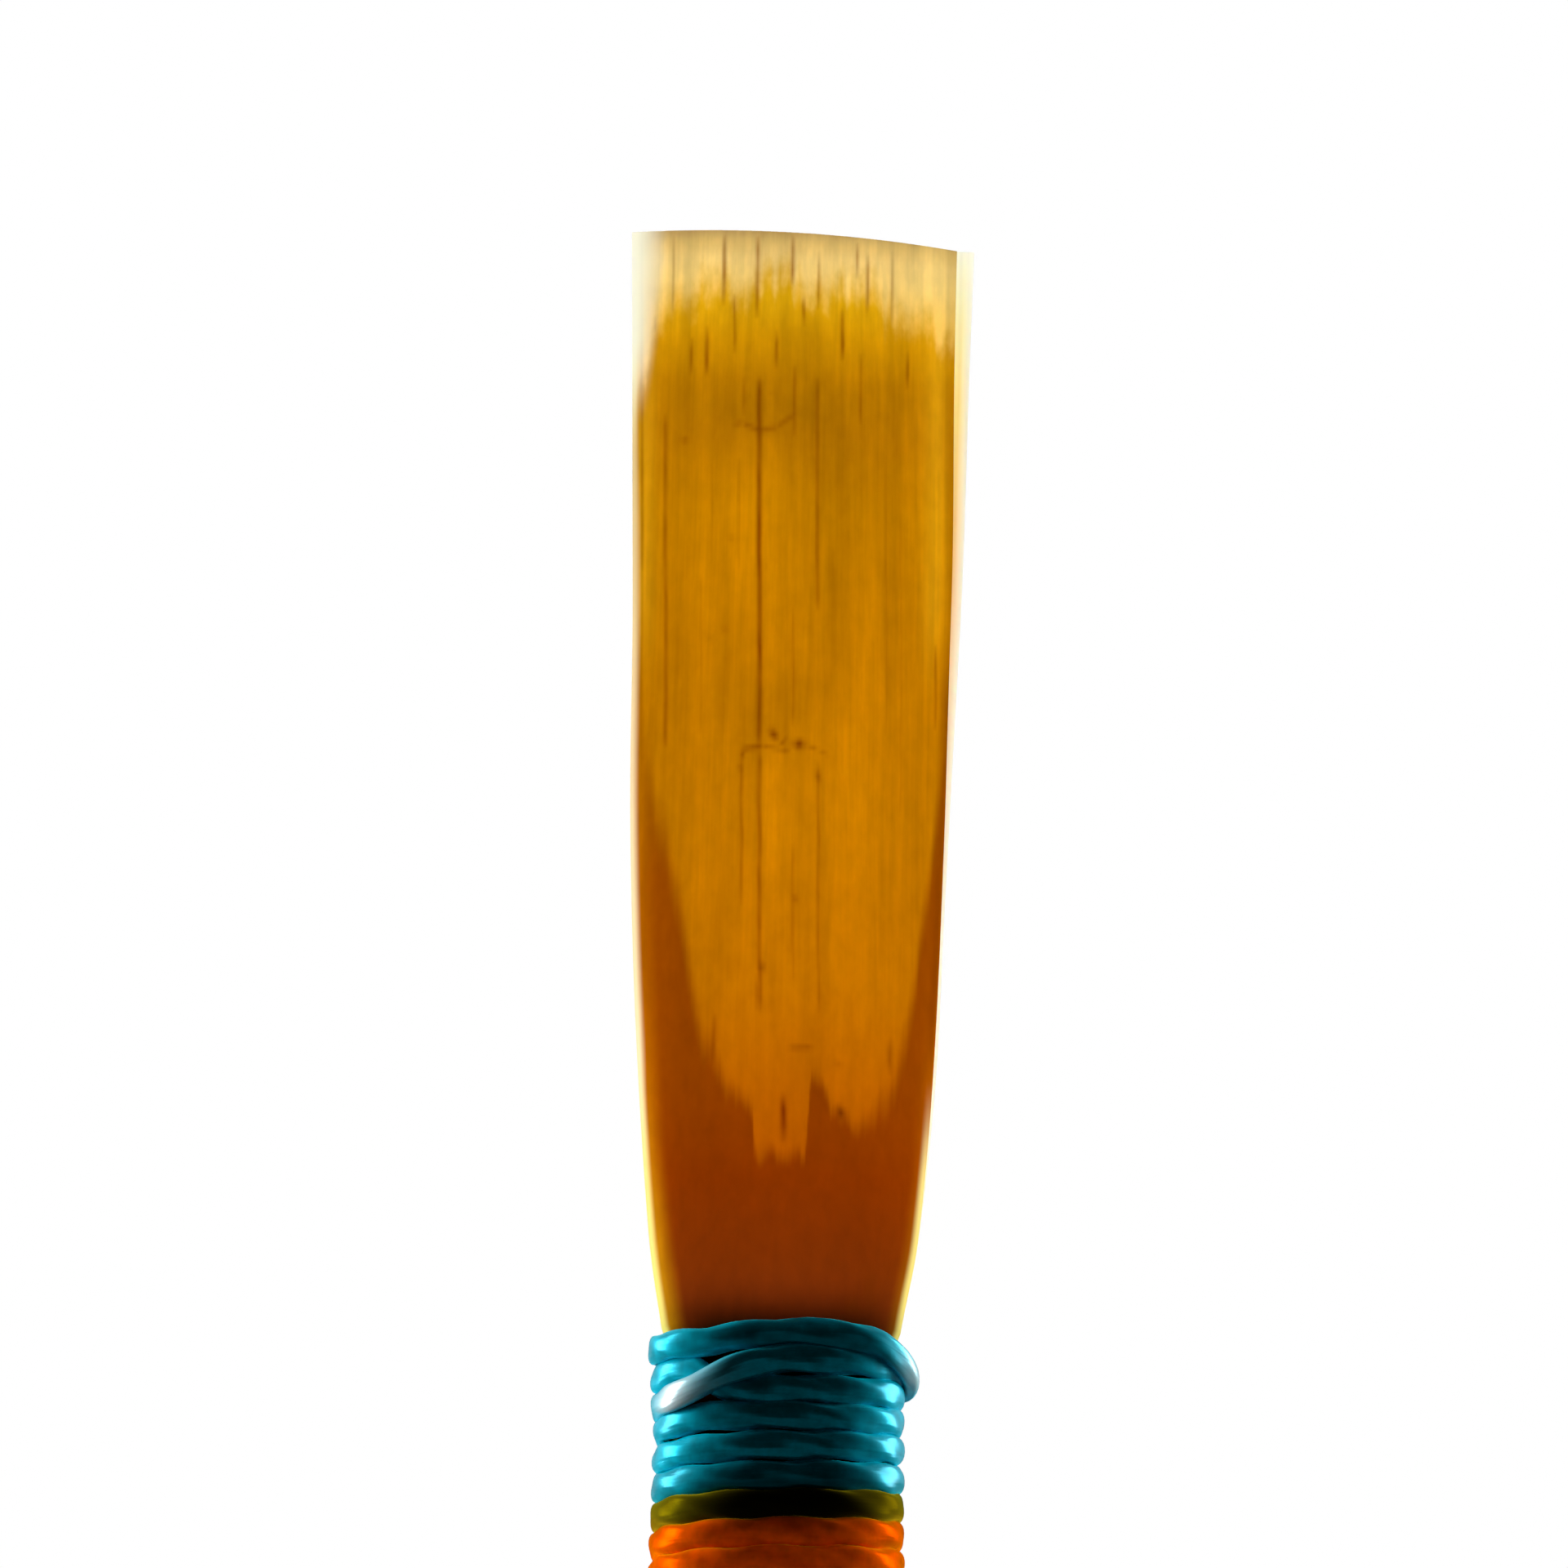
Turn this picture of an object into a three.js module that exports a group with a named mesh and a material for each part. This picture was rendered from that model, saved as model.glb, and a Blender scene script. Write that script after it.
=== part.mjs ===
// English horn reed: two cane blades bound to a metal staple by thread in three colours.
// The origin is the centre of the staple's lower end. +Z runs up to the tips of the blades,
// and the front blade faces -Y. All sizes are in millimetres.

import * as THREE from "three";

const { lerp, smoothstep } = THREE.MathUtils;

// Staple: a tapered tube, round at its foot and oval at its top.
const stapleLength = 27;
const stapleFootBore = 6.2;
const stapleFootWall = 0.45;
const stapleTopBore = 2.86;
const stapleTopWall = 0.34;
const stapleSqueeze = 0.33; // half the difference between round and the oval top's width
const stapleOvalLength = 15;

// Cane blades
const caneLength = 41;
const caneTiedLength = 13; // the part that lies on the staple
const caneButtThickness = 0.15;
const caneTaperLength = 5; // from the thin butt up to the full thickness
const caneBarkThickness = 0.6;
const caneHeartThickness = 0.46;
const caneBlendThickness = 0.34;
const caneTipThickness = 0.1;
const caneThroatEdge = 0.43; // width of the meeting edges where the blades leave the staple
const caneTipEdge = 0.3;
const caneNeckWidth = 5.8; // where the cane comes out of the thread
const caneTipWidth = 8.1;
const tipOpening = 1;
const tipArch = 0.08; // how much higher the middle of the tip stands than its corners
const tipSlant = 0.1; // how much the left corner stands above the middle
const bladeSlip = 0.22; // how far each tip has slipped sideways
const bladeGap = 0.06; // between the meeting edges
const caneGap = 0.05; // between cane and staple

// Where along the bare cane the scrape changes, from the thread to the tip
const barkEndShare = 0.12;
const heartShare = 0.45;
const blendShare = 0.85;
const straightShare = 0.42; // of the narrowing from tip to thread, what runs straight

// How the outlines curve: 1 would be straight
const staplePower = 1.2;
const flarePower = 6.3;
const edgeTaperPower = 3;

// Thread
const threadPitch = 0.68;
const threadHeight = 0.26; // along the reed
const threadThickness = 0.36; // away from the reed
const threadGap = 0.06; // between thread and cane
const threadEndGap = 0.3; // between two colours
const threadReach = 0.73; // how far the last turn stands above the staple
const threadCover = 0.4; // how far the first turn lies below the end of the cane
const tealTurns = 5;
const oliveTurns = 1;
const crossingTurn = 1.75; // from the last turn's end to the middle of the turn that crosses
const crossingSpan = 0.45; // in turns

// How finely the surfaces are divided
const stapleSides = 32;
const stapleRows = 12;
const bladeSides = 18;
const tiedRows = 8;
const neckRows = 3;
const bareRows = 20;
const threadSteps = 24;
const threadSides = 6;

const caneButtZ = stapleLength - caneTiedLength;
const tipZ = caneButtZ + caneLength;
const threadTopZ = stapleLength + threadReach;
const crossedTurns = 1; // the crossing turn climbs two pitches
const allTurns = Math.ceil((threadTopZ - caneButtZ + threadCover) / threadPitch) - crossedTurns;
const threadFootZ = threadTopZ - (allTurns + crossedTurns) * threadPitch;
const fullTurn = 2 * Math.PI;

const brass = new THREE.MeshStandardMaterial({ color: "#c8a24c", roughness: 0.3, metalness: 1 });
const cane = new THREE.MeshStandardMaterial({ color: "#c88a2e", roughness: 0.55, metalness: 0 });
const tealNylon = new THREE.MeshStandardMaterial({ color: "#12a9ba", roughness: 0.35, metalness: 0 });
const oliveNylon = new THREE.MeshStandardMaterial({ color: "#77772a", roughness: 0.35, metalness: 0 });
const orangeNylon = new THREE.MeshStandardMaterial({ color: "#e2760f", roughness: 0.35, metalness: 0 });

// The share of the way from one height to another, held between 0 and 1.
function shareBetween(z, from, to) {
  return Math.min(Math.max((z - from) / (to - from), 0), 1);
}

// A value read from a list of [share, value] pairs, along straight lines between them.
function readAlong(pairs, share) {
  const after = Math.max(1, pairs.findIndex(([at]) => at >= share));
  const [fromShare, from] = pairs[after - 1];
  const [toShare, to] = pairs[after];
  return lerp(from, to, shareBetween(share, fromShare, toShare));
}

// A closed body through rings of points. Each ring turns anticlockwise about the way forward.
// A loop joins its last ring to its first, and any other body has flat ends.
function loft(rings, isLoop) {
  const size = rings[0].length;
  const faces = [];
  const bands = isLoop ? rings.length : rings.length - 1;
  for (let band = 0; band < bands; band += 1) {
    const near = band * size;
    const far = ((band + 1) % rings.length) * size;
    for (let i = 0; i < size; i += 1) {
      const next = (i + 1) % size;
      faces.push(near + i, near + next, far + next);
      faces.push(near + i, far + next, far + i);
    }
  }
  if (!isLoop) {
    const last = (rings.length - 1) * size;
    for (let i = 0; i < size / 2 - 1; i += 1) {
      const a = i;
      const b = i + 1;
      const c = size - 2 - i;
      const d = size - 1 - i;
      faces.push(a, c, b, a, d, c);
      faces.push(last + a, last + b, last + c, last + a, last + c, last + d);
    }
  }
  const geometry = new THREE.BufferGeometry().setFromPoints(rings.flat());
  geometry.setIndex(faces);
  geometry.computeVertexNormals();
  return geometry;
}

function part(name, geometry, material) {
  const mesh = new THREE.Mesh(geometry, material);
  mesh.name = name;
  return mesh;
}

// Half the width and half the depth of the staple's bore at a height.
function boreAt(z) {
  const narrowed = shareBetween(z, 0, stapleLength) ** staplePower;
  const radius = lerp(stapleFootBore / 2, stapleTopBore / 2, narrowed);
  const squeeze = stapleSqueeze * smoothstep(z, stapleLength - stapleOvalLength, stapleLength);
  return { halfWidth: radius + squeeze, halfDepth: radius - squeeze };
}

// Half the width and half the depth of the outside of the staple at a height.
function stapleAt(z) {
  const bore = boreAt(z);
  const wall = lerp(stapleFootWall, stapleTopWall, shareBetween(z, 0, stapleLength));
  return { halfWidth: bore.halfWidth + wall, halfDepth: bore.halfDepth + wall };
}

// The staple's wall, swept once round the axis.
function makeStaple() {
  const heights = [];
  for (let row = 0; row <= stapleRows; row += 1) {
    heights.push(lerp(0, stapleLength, row / stapleRows));
  }
  const rings = [];
  for (let side = 0; side < stapleSides; side += 1) {
    const angle = (side / stapleSides) * fullTurn;
    const at = (size, z) =>
      new THREE.Vector3(size.halfWidth * Math.cos(angle), size.halfDepth * Math.sin(angle), z);
    const outside = heights.map((z) => at(stapleAt(z), z)).reverse();
    const inside = heights.map((z) => at(boreAt(z), z));
    rings.push([...outside, ...inside]);
  }
  return loft(rings, true);
}

// The cane's thickness in the middle of a blade at a height.
function caneThicknessAt(z) {
  if (z < threadTopZ) {
    const taper = shareBetween(z, caneButtZ, caneButtZ + caneTaperLength);
    return lerp(caneButtThickness, caneBarkThickness, taper);
  }
  const scrape = [
    [0, caneBarkThickness],
    [barkEndShare, caneBarkThickness],
    [heartShare, caneHeartThickness],
    [blendShare, caneBlendThickness],
    [1, caneTipThickness],
  ];
  return readAlong(scrape, shareBetween(z, threadTopZ, tipZ));
}

// The width of the edge on which one blade meets the other at a height.
function caneEdgeAt(z) {
  if (z < stapleLength) {
    const taper = shareBetween(z, caneButtZ, stapleLength) ** edgeTaperPower;
    return lerp(caneButtThickness, caneThroatEdge, taper);
  }
  return lerp(caneThroatEdge, caneTipEdge, shareBetween(z, stapleLength, tipZ));
}

// Half the outer width of a blade at a height.
function caneHalfWidthAt(z) {
  if (z <= stapleLength) {
    return stapleAt(z).halfWidth + caneGap + caneEdgeAt(z);
  }
  const throat = stapleAt(stapleLength).halfWidth + caneGap + caneThroatEdge;
  if (z < threadTopZ) {
    return lerp(throat, caneNeckWidth / 2, smoothstep(z, stapleLength, threadTopZ));
  }
  const down = 1 - shareBetween(z, threadTopZ, tipZ);
  const narrowed = lerp(down ** flarePower, down, straightShare);
  return lerp(caneTipWidth / 2, caneNeckWidth / 2, narrowed);
}

// The height of the hollow under a blade, from the plane where the blades meet.
function caneHollowAt(z) {
  const onStaple = stapleAt(Math.min(z, stapleLength)).halfDepth + caneGap - bladeGap / 2;
  return lerp(onStaple, tipOpening / 2, shareBetween(z, stapleLength, tipZ));
}

// One row of a blade: the outside from edge to edge, then the inside back again.
// Sections go from half an ellipse on the staple to a flat arch at the tip.
function bladeRow(z, side) {
  const halfWidth = caneHalfWidthAt(z);
  const hollow = caneHollowAt(z);
  const rise = shareBetween(z, stapleLength, tipZ);
  const power = lerp(1, 2, smoothstep(rise, 0, 1));
  const slip = side * bladeSlip * shareBetween(z, threadTopZ, tipZ);
  const nearTip = smoothstep(shareBetween(z, threadTopZ, tipZ), blendShare, 1);
  const start = side > 0 ? 0 : Math.PI;
  const at = (step, width, depth) => {
    const angle = start + (step / bladeSides) * Math.PI;
    const across = Math.cos(angle);
    const y = side * (bladeGap / 2 + depth * Math.abs(Math.sin(angle)) ** power);
    const lift = -nearTip * (tipArch * across ** 2 + tipSlant * across);
    return new THREE.Vector3(width * across + slip, y, z + lift);
  };
  const steps = Array.from({ length: bladeSides + 1 }, (_, step) => step);
  const outside = steps.map((step) => at(step, halfWidth, hollow + caneThicknessAt(z)));
  const inside = steps.map((step) => at(step, halfWidth - caneEdgeAt(z), hollow));
  return [...outside, ...inside.reverse()];
}

// side is -1 for the front blade and 1 for the rear one.
function makeBlade(side) {
  const heights = [];
  for (let row = 0; row < tiedRows; row += 1) {
    heights.push(lerp(caneButtZ, stapleLength, row / tiedRows));
  }
  for (let row = 0; row < neckRows; row += 1) {
    heights.push(lerp(stapleLength, threadTopZ, row / neckRows));
  }
  for (let row = 0; row <= bareRows; row += 1) {
    heights.push(lerp(threadTopZ, tipZ, row / bareRows));
  }
  return loft(heights.map((z) => bladeRow(z, side)), false);
}

// The oval that the thread is wound on at a height. It eases from cane to staple past the butt.
function windingCoreAt(z) {
  if (z >= caneButtZ) {
    const hollow = caneHollowAt(z);
    const halfDepth = hollow + bladeGap / 2 + caneThicknessAt(z);
    return { halfWidth: caneHalfWidthAt(z), halfDepth };
  }
  const staple = stapleAt(z);
  const past = shareBetween(z, caneButtZ - threadPitch, caneButtZ - threadHeight);
  const step = past * (caneGap + caneButtThickness);
  return { halfWidth: staple.halfWidth + step, halfDepth: staple.halfDepth + step };
}

// Height of the thread after a number of turns from its lower end. One turn climbs two pitches.
function threadHeightAt(turns) {
  const middle = allTurns - crossingTurn;
  const crossed = smoothstep(turns, middle - crossingSpan / 2, middle + crossingSpan / 2);
  return threadFootZ + threadPitch * (turns + crossedTurns * crossed);
}

// One ring of the thread. Turns are counted from the middle of the back.
function threadRing(turns) {
  const angle = fullTurn / 4 + turns * fullTurn;
  const z = threadHeightAt(turns);
  const core = windingCoreAt(z);
  const onCore = new THREE.Vector3(
    core.halfWidth * Math.cos(angle),
    core.halfDepth * Math.sin(angle),
    z,
  );
  const outward = new THREE.Vector3(
    Math.cos(angle) / core.halfWidth,
    Math.sin(angle) / core.halfDepth,
    0,
  ).normalize();
  const upward = new THREE.Vector3(0, 0, 1);
  const centre = onCore.addScaledVector(outward, threadGap + threadThickness / 2);
  const widest = Math.sin(fullTurn / threadSides);
  const ring = [];
  for (let side = 0; side < threadSides; side += 1) {
    const turn = fullTurn / 4 + (side / threadSides) * fullTurn;
    const point = centre.clone();
    point.addScaledVector(upward, ((threadHeight / 2) * Math.cos(turn)) / widest);
    point.addScaledVector(outward, (threadThickness / 2) * Math.sin(turn));
    ring.push(point);
  }
  return ring;
}

// The least distance between points of the thread that lie half a turn or more apart along it.
function leastGap(rings) {
  let least = Infinity;
  rings.forEach((ring, at) => {
    rings.slice(at + threadSteps / 2).forEach((other) => {
      ring.forEach((a) => other.forEach((b) => {
        least = Math.min(least, a.distanceTo(b));
      }));
    });
  });
  return least;
}

// The thread between two counts of turns, short of the next colour at each end by half the gap.
function makeThread(name, fromTurn, toTurn) {
  const girth = fullTurn * windingCoreAt(threadHeightAt(fromTurn)).halfWidth;
  const trim = threadEndGap / 2 / girth;
  const steps = (toTurn - fromTurn) * threadSteps;
  const rings = [];
  for (let step = 0; step <= steps; step += 1) {
    let turns = fromTurn + step / threadSteps;
    if (step === 0) turns += trim;
    if (step === steps) turns -= trim;
    rings.push(threadRing(turns));
  }
  console.log(name + ": least gap to itself " + leastGap(rings).toFixed(2) + " mm");
  return loft(rings, false);
}

const orangeEnd = allTurns - tealTurns - oliveTurns;
const oliveEnd = allTurns - tealTurns;

const reed = new THREE.Group();
reed.name = "english_horn_reed";
reed.add(part("staple", makeStaple(), brass));
reed.add(part("blade_front", makeBlade(-1), cane));
reed.add(part("blade_rear", makeBlade(1), cane));
reed.add(part("thread_orange", makeThread("thread_orange", 0, orangeEnd), orangeNylon));
reed.add(part("thread_olive", makeThread("thread_olive", orangeEnd, oliveEnd), oliveNylon));
reed.add(part("thread_teal", makeThread("thread_teal", oliveEnd, allTurns), tealNylon));

export default reed;
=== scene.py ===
import math

import bpy
import numpy as np
from mathutils import Matrix, Vector


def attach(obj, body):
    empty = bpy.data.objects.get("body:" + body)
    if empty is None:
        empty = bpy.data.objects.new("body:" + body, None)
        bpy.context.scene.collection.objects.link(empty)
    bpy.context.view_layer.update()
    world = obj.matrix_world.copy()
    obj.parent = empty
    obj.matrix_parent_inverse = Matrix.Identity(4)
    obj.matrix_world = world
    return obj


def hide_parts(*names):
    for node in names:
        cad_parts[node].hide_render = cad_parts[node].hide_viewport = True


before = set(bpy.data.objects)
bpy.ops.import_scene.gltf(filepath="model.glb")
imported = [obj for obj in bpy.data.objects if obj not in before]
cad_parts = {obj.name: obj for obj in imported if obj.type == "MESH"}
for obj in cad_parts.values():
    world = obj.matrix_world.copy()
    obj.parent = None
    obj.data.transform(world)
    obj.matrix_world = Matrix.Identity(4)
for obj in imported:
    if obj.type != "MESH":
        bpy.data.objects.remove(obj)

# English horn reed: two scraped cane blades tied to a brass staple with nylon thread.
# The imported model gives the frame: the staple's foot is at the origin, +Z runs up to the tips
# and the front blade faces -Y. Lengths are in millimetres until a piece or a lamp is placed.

MM = 0.001
TURN = 2 * math.pi
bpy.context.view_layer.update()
bpy.ops.object.select_all(action="DESELECT")

# Camera, from a fit to the outline of the reed in the photograph
PHOTO_SIDE_PX = 1920
PHOTO_MIDDLE_PX = PHOTO_SIDE_PX / 2
FOCAL_PX = 9644
SENSOR_WIDTH = 36
CAMERA_DISTANCE = 190
CAMERA_HEIGHT = 5.62
CAMERA_AZIMUTH = math.radians(3.18)
LOOK_AZIMUTH = math.radians(3.119)
LOOK_UP = math.radians(10.61)
ROLL = math.radians(1.19)
CLIP_NEAR_METRES = 0.01
CLIP_FAR_METRES = 10
# The width of one of the photograph's pixels at the reed
PX = CAMERA_DISTANCE / FOCAL_PX
FACE_GUESS_Y = -1.0
FACE_GUESSES = 3

# Staple
STAPLE_LENGTH = 27
STAPLE_FOOT_BORE = 6.2
STAPLE_FOOT_WALL = 0.45
STAPLE_TOP_BORE = 2.86
STAPLE_TOP_WALL = 0.34
STAPLE_SQUEEZE = 0.33
STAPLE_OVAL_LENGTH = 15
STAPLE_POWER = 1.2
STAPLE_RIM_ROUNDING = 0.12
STAPLE_RIM_STEPS = 4
STAPLE_SIDES = 96
STAPLE_ROWS = 64
SEAM_WIDTH = 0.35
SEAM_DEPTH = 0.02
# The wall is spun round the axis at this radius and drawn in to its own afterwards
SPUN_RADIUS = 10

# Cane blades
FRONT = -1
REAR = 1
CANE_BUTT_Z = 14
TIP_Z = 55
CANE_BUTT_THICKNESS = 0.15
CANE_TAPER_LENGTH = 5
CANE_THROAT_EDGE = 0.43
CANE_TIP_EDGE = 0.3
CANE_NECK_WIDTH = 5.8
CANE_TIP_WIDTH = 8.1
TIP_OPENING = 1
TIP_ARCH = 0.08
TIP_SLANT = 0.1
BLADE_SLIP = 0.22
BLADE_GAP = 0.06
CANE_GAP = 0.05
STRAIGHT_SHARE = 0.42
FLARE_POWER = 6.3
EDGE_TAPER_POWER = 3
SCRAPE_SHARES = [0, 0.12, 0.45, 0.85, 1]
SCRAPE_THICKNESSES = [0.6, 0.6, 0.46, 0.34, 0.1]
TIP_SHARE = 0.85
BARK_STEP = 0.03
BARK_STEP_FROM_EDGE = 0.05
BARK_STEP_RISE = 1

# What the photograph's outline adds to the blades, all less than a tenth of a millimetre.
# A pair of heights is where a change begins and where it is complete; a hump has a middle and a reach.
FULLER_STARTS_Z = 27.9, 30
FRONT_FULLER = 0.085
FRONT_FULLER_ENDS_Z = 40, 46
REAR_FULLER = 0.06
REAR_FULLER_ENDS_Z = 34, 38
BULGE_HUMP_Z = 46.5, 4
FRONT_BULGE = 0.05
REAR_BULGE = 0.06
FLAT_HUMP_Z = 32, 4.5
LEFT_FLAT = 0.075

# How finely a blade's outside is divided, and how much coarser its inside is
BLADE_COLUMNS = 240
BLADE_ROWS = 320
TIED_ROWS_SHARE = 0.15
INSIDE_STEP = 8

# Thread
THREAD_PITCH = 0.68
THREAD_WIDTH = 0.69
THREAD_THICKNESS = 0.4
THREAD_GAP = 0.03
THREAD_SQUARENESS = 0.92
THREAD_TOP_Z = 27.73
OLIVE_FRONT_Z = 23.31
ORANGE_END_TURN = 14
OLIVE_END_TURN = 15
TEAL_END_TURN = 20.93
THREAD_STEP = 0.13
THREAD_SIDES = 24
GIRTH_Z = 20.0
PLIES = 3
PLY_SWELL = 0.08
PLY_LAY = 2
LOOSE_END_ROUNDING = 0.3
LOOSE_END_SIZE = 0.02

# Modelling
WELD_DISTANCE = 0.0001
SMOOTH_ANGLE = math.radians(40)


def share(value, low, high):
    return np.clip((value - low) / (high - low), 0, 1)


def smooth(value):
    return value * value * (3 - 2 * value)


def between(low, high, part):
    return low + (high - low) * part


def grows(value, low, high):
    return smooth(share(value, low, high))


def fades(value, low, high):
    return 1 - smooth(share(value, low, high))


def hump(value, middle, reach, power=2):
    return np.exp(-(((value - middle) / reach) ** power))


# Camera


def make_camera():
    place = Vector((-math.sin(CAMERA_AZIMUTH), -math.cos(CAMERA_AZIMUTH), 0)) * CAMERA_DISTANCE
    place.z = CAMERA_HEIGHT
    level = Vector((math.sin(LOOK_AZIMUTH), math.cos(LOOK_AZIMUTH), 0))
    forward = level * math.cos(LOOK_UP) + Vector((0, 0, math.sin(LOOK_UP)))
    right = forward.cross(Vector((0, 0, 1))).normalized()
    up = right.cross(forward)
    tilted_right = right * math.cos(ROLL) + up * math.sin(ROLL)
    tilted_up = up * math.cos(ROLL) - right * math.sin(ROLL)
    turn = Matrix((tilted_right, tilted_up, -forward)).transposed()
    data = bpy.data.cameras.new("camera")
    data.sensor_width = SENSOR_WIDTH
    data.lens = FOCAL_PX / PHOTO_SIDE_PX * SENSOR_WIDTH
    data.clip_start = CLIP_NEAR_METRES
    data.clip_end = CLIP_FAR_METRES
    camera = bpy.data.objects.new("camera", data)
    bpy.context.scene.collection.objects.link(camera)
    camera.matrix_world = Matrix.Translation(place * MM) @ turn.to_4x4()
    bpy.context.scene.camera = camera
    return place, turn


camera_place, camera_turn = make_camera()


# The reed's shape, from the same sizes as the CAD


def staple_bore(z):
    narrowed = share(z, 0, STAPLE_LENGTH) ** STAPLE_POWER
    radius = between(STAPLE_FOOT_BORE / 2, STAPLE_TOP_BORE / 2, narrowed)
    squeeze = STAPLE_SQUEEZE * grows(z, STAPLE_LENGTH - STAPLE_OVAL_LENGTH, STAPLE_LENGTH)
    return radius + squeeze, radius - squeeze


def staple_wall(z):
    return between(STAPLE_FOOT_WALL, STAPLE_TOP_WALL, share(z, 0, STAPLE_LENGTH))


def staple_outside(z):
    half_width, half_depth = staple_bore(z)
    return half_width + staple_wall(z), half_depth + staple_wall(z)


def cane_thickness(z):
    taper = share(z, CANE_BUTT_Z, CANE_BUTT_Z + CANE_TAPER_LENGTH)
    tied = between(CANE_BUTT_THICKNESS, SCRAPE_THICKNESSES[0], taper)
    bare = np.interp(share(z, THREAD_TOP_Z, TIP_Z), SCRAPE_SHARES, SCRAPE_THICKNESSES)
    return np.where(z < THREAD_TOP_Z, tied, bare)


def cane_edge(z):
    taper = share(z, CANE_BUTT_Z, STAPLE_LENGTH) ** EDGE_TAPER_POWER
    tied = between(CANE_BUTT_THICKNESS, CANE_THROAT_EDGE, taper)
    bare = between(CANE_THROAT_EDGE, CANE_TIP_EDGE, share(z, STAPLE_LENGTH, TIP_Z))
    return np.where(z < STAPLE_LENGTH, tied, bare)


def cane_half_width(z):
    on_staple = staple_outside(z)[0] + CANE_GAP + cane_edge(z)
    throat = staple_outside(STAPLE_LENGTH)[0] + CANE_GAP + CANE_THROAT_EDGE
    neck = between(throat, CANE_NECK_WIDTH / 2, grows(z, STAPLE_LENGTH, THREAD_TOP_Z))
    down = 1 - share(z, THREAD_TOP_Z, TIP_Z)
    narrowed = between(down**FLARE_POWER, down, STRAIGHT_SHARE)
    bare = between(CANE_TIP_WIDTH / 2, CANE_NECK_WIDTH / 2, narrowed)
    return np.where(z <= STAPLE_LENGTH, on_staple, np.where(z < THREAD_TOP_Z, neck, bare))


def cane_hollow(z):
    on_staple = staple_outside(np.minimum(z, STAPLE_LENGTH))[1] + CANE_GAP - BLADE_GAP / 2
    return between(on_staple, TIP_OPENING / 2, share(z, STAPLE_LENGTH, TIP_Z))


def slip(z, side):
    """How far a blade has slipped to the right at each height."""
    return side * BLADE_SLIP * share(z, THREAD_TOP_Z, TIP_Z)


def blade_surface(across, z, side, half_width, depth):
    """Points on a blade. across runs from -1 at its left edge to 1 at its right one."""
    power = 1 + grows(z, STAPLE_LENGTH, TIP_Z)
    arch = np.sqrt(np.clip(1 - across**2, 0, 1)) ** power
    x = half_width * across + slip(z, side)
    y = side * (BLADE_GAP / 2 + depth * arch)
    near_tip = grows(share(z, THREAD_TOP_Z, TIP_Z), TIP_SHARE, 1)
    drop = near_tip * (TIP_ARCH * across**2 + TIP_SLANT * across)
    return np.stack([x, y, z - drop], axis=1)


def front_face(x, z):
    """How far forward the front blade's outside is."""
    half_width = cane_half_width(z)
    across = (x - slip(z, FRONT)) / half_width
    depth = cane_hollow(z) + cane_thickness(z)
    points = blade_surface(np.array([across]), np.array([z]), FRONT, half_width, depth)
    return float(points[0, 1])


def on_blade(x_px, y_px):
    """Where a pixel of the photograph lands on the front blade, as x and z."""
    ray = camera_turn @ Vector((x_px - PHOTO_MIDDLE_PX, PHOTO_MIDDLE_PX - y_px, -FOCAL_PX))
    face_y = FACE_GUESS_Y
    for _ in range(FACE_GUESSES):
        point = camera_place + ray * ((face_y - camera_place.y) / ray.y)
        face_y = front_face(point.x, point.z)
    return point.x, point.z


def winding_core(z):
    """Half the width and half the depth of what the thread is wound on."""
    on_cane = cane_half_width(z), cane_hollow(z) + BLADE_GAP / 2 + cane_thickness(z)
    on_staple = staple_outside(z)
    past = share(z, CANE_BUTT_Z - THREAD_PITCH, CANE_BUTT_Z - THREAD_PITCH / 2)
    step = past * (CANE_GAP + CANE_BUTT_THICKNESS)
    return [np.where(z >= CANE_BUTT_Z, cane, metal + step) for cane, metal in zip(on_cane, on_staple)]


# Modelling helpers. Pieces are modelled in millimetres and turned to metres when finished.


def add_sheet(columns, rows):
    bpy.ops.mesh.primitive_grid_add(x_subdivisions=columns, y_subdivisions=rows, size=1, calc_uvs=True)
    return bpy.context.object


def read_points(piece):
    points = np.empty(len(piece.data.vertices) * 3)
    piece.data.vertices.foreach_get("co", points)
    return points.reshape(-1, 3)


def write_points(piece, points):
    piece.data.vertices.foreach_set("co", points.astype(np.float32).ravel())
    piece.data.update()


def write_attribute(piece, name, values):
    attribute = piece.data.attributes.new(name, "FLOAT", "POINT")
    attribute.data.foreach_set("value", values.astype(np.float32))


def edit(action=None):
    """Starts to edit the mesh, with everything selected by "SELECT" or nothing by "DESELECT"."""
    bpy.ops.object.mode_set(mode="EDIT")
    if action:
        bpy.ops.mesh.select_all(action=action)


def stop_editing():
    bpy.ops.object.mode_set(mode="OBJECT")


def finish_piece(piece, name, nodes, materials):
    """Turns the piece to metres, faces it outwards and hands it to the frame."""
    piece.name = name
    edit("SELECT")
    bpy.ops.mesh.normals_make_consistent(inside=False)
    bpy.ops.transform.resize(value=(MM, MM, MM), center_override=(0, 0, 0))
    stop_editing()
    bpy.ops.object.shade_smooth_by_angle(angle=SMOOTH_ANGLE)
    for material in materials:
        piece.data.materials.append(material)
    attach(piece, "root")
    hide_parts(*nodes)
    bpy.ops.object.select_all(action="DESELECT")
    return piece


def linear(hex_colour):
    """An sRGB hex colour as the linear colour that a shader takes."""
    parts = [int(hex_colour[i : i + 2], 16) / 255 for i in (1, 3, 5)]
    return [p / 12.92 if p <= 0.04045 else ((p + 0.055) / 1.055) ** 2.4 for p in parts] + [1]


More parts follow.
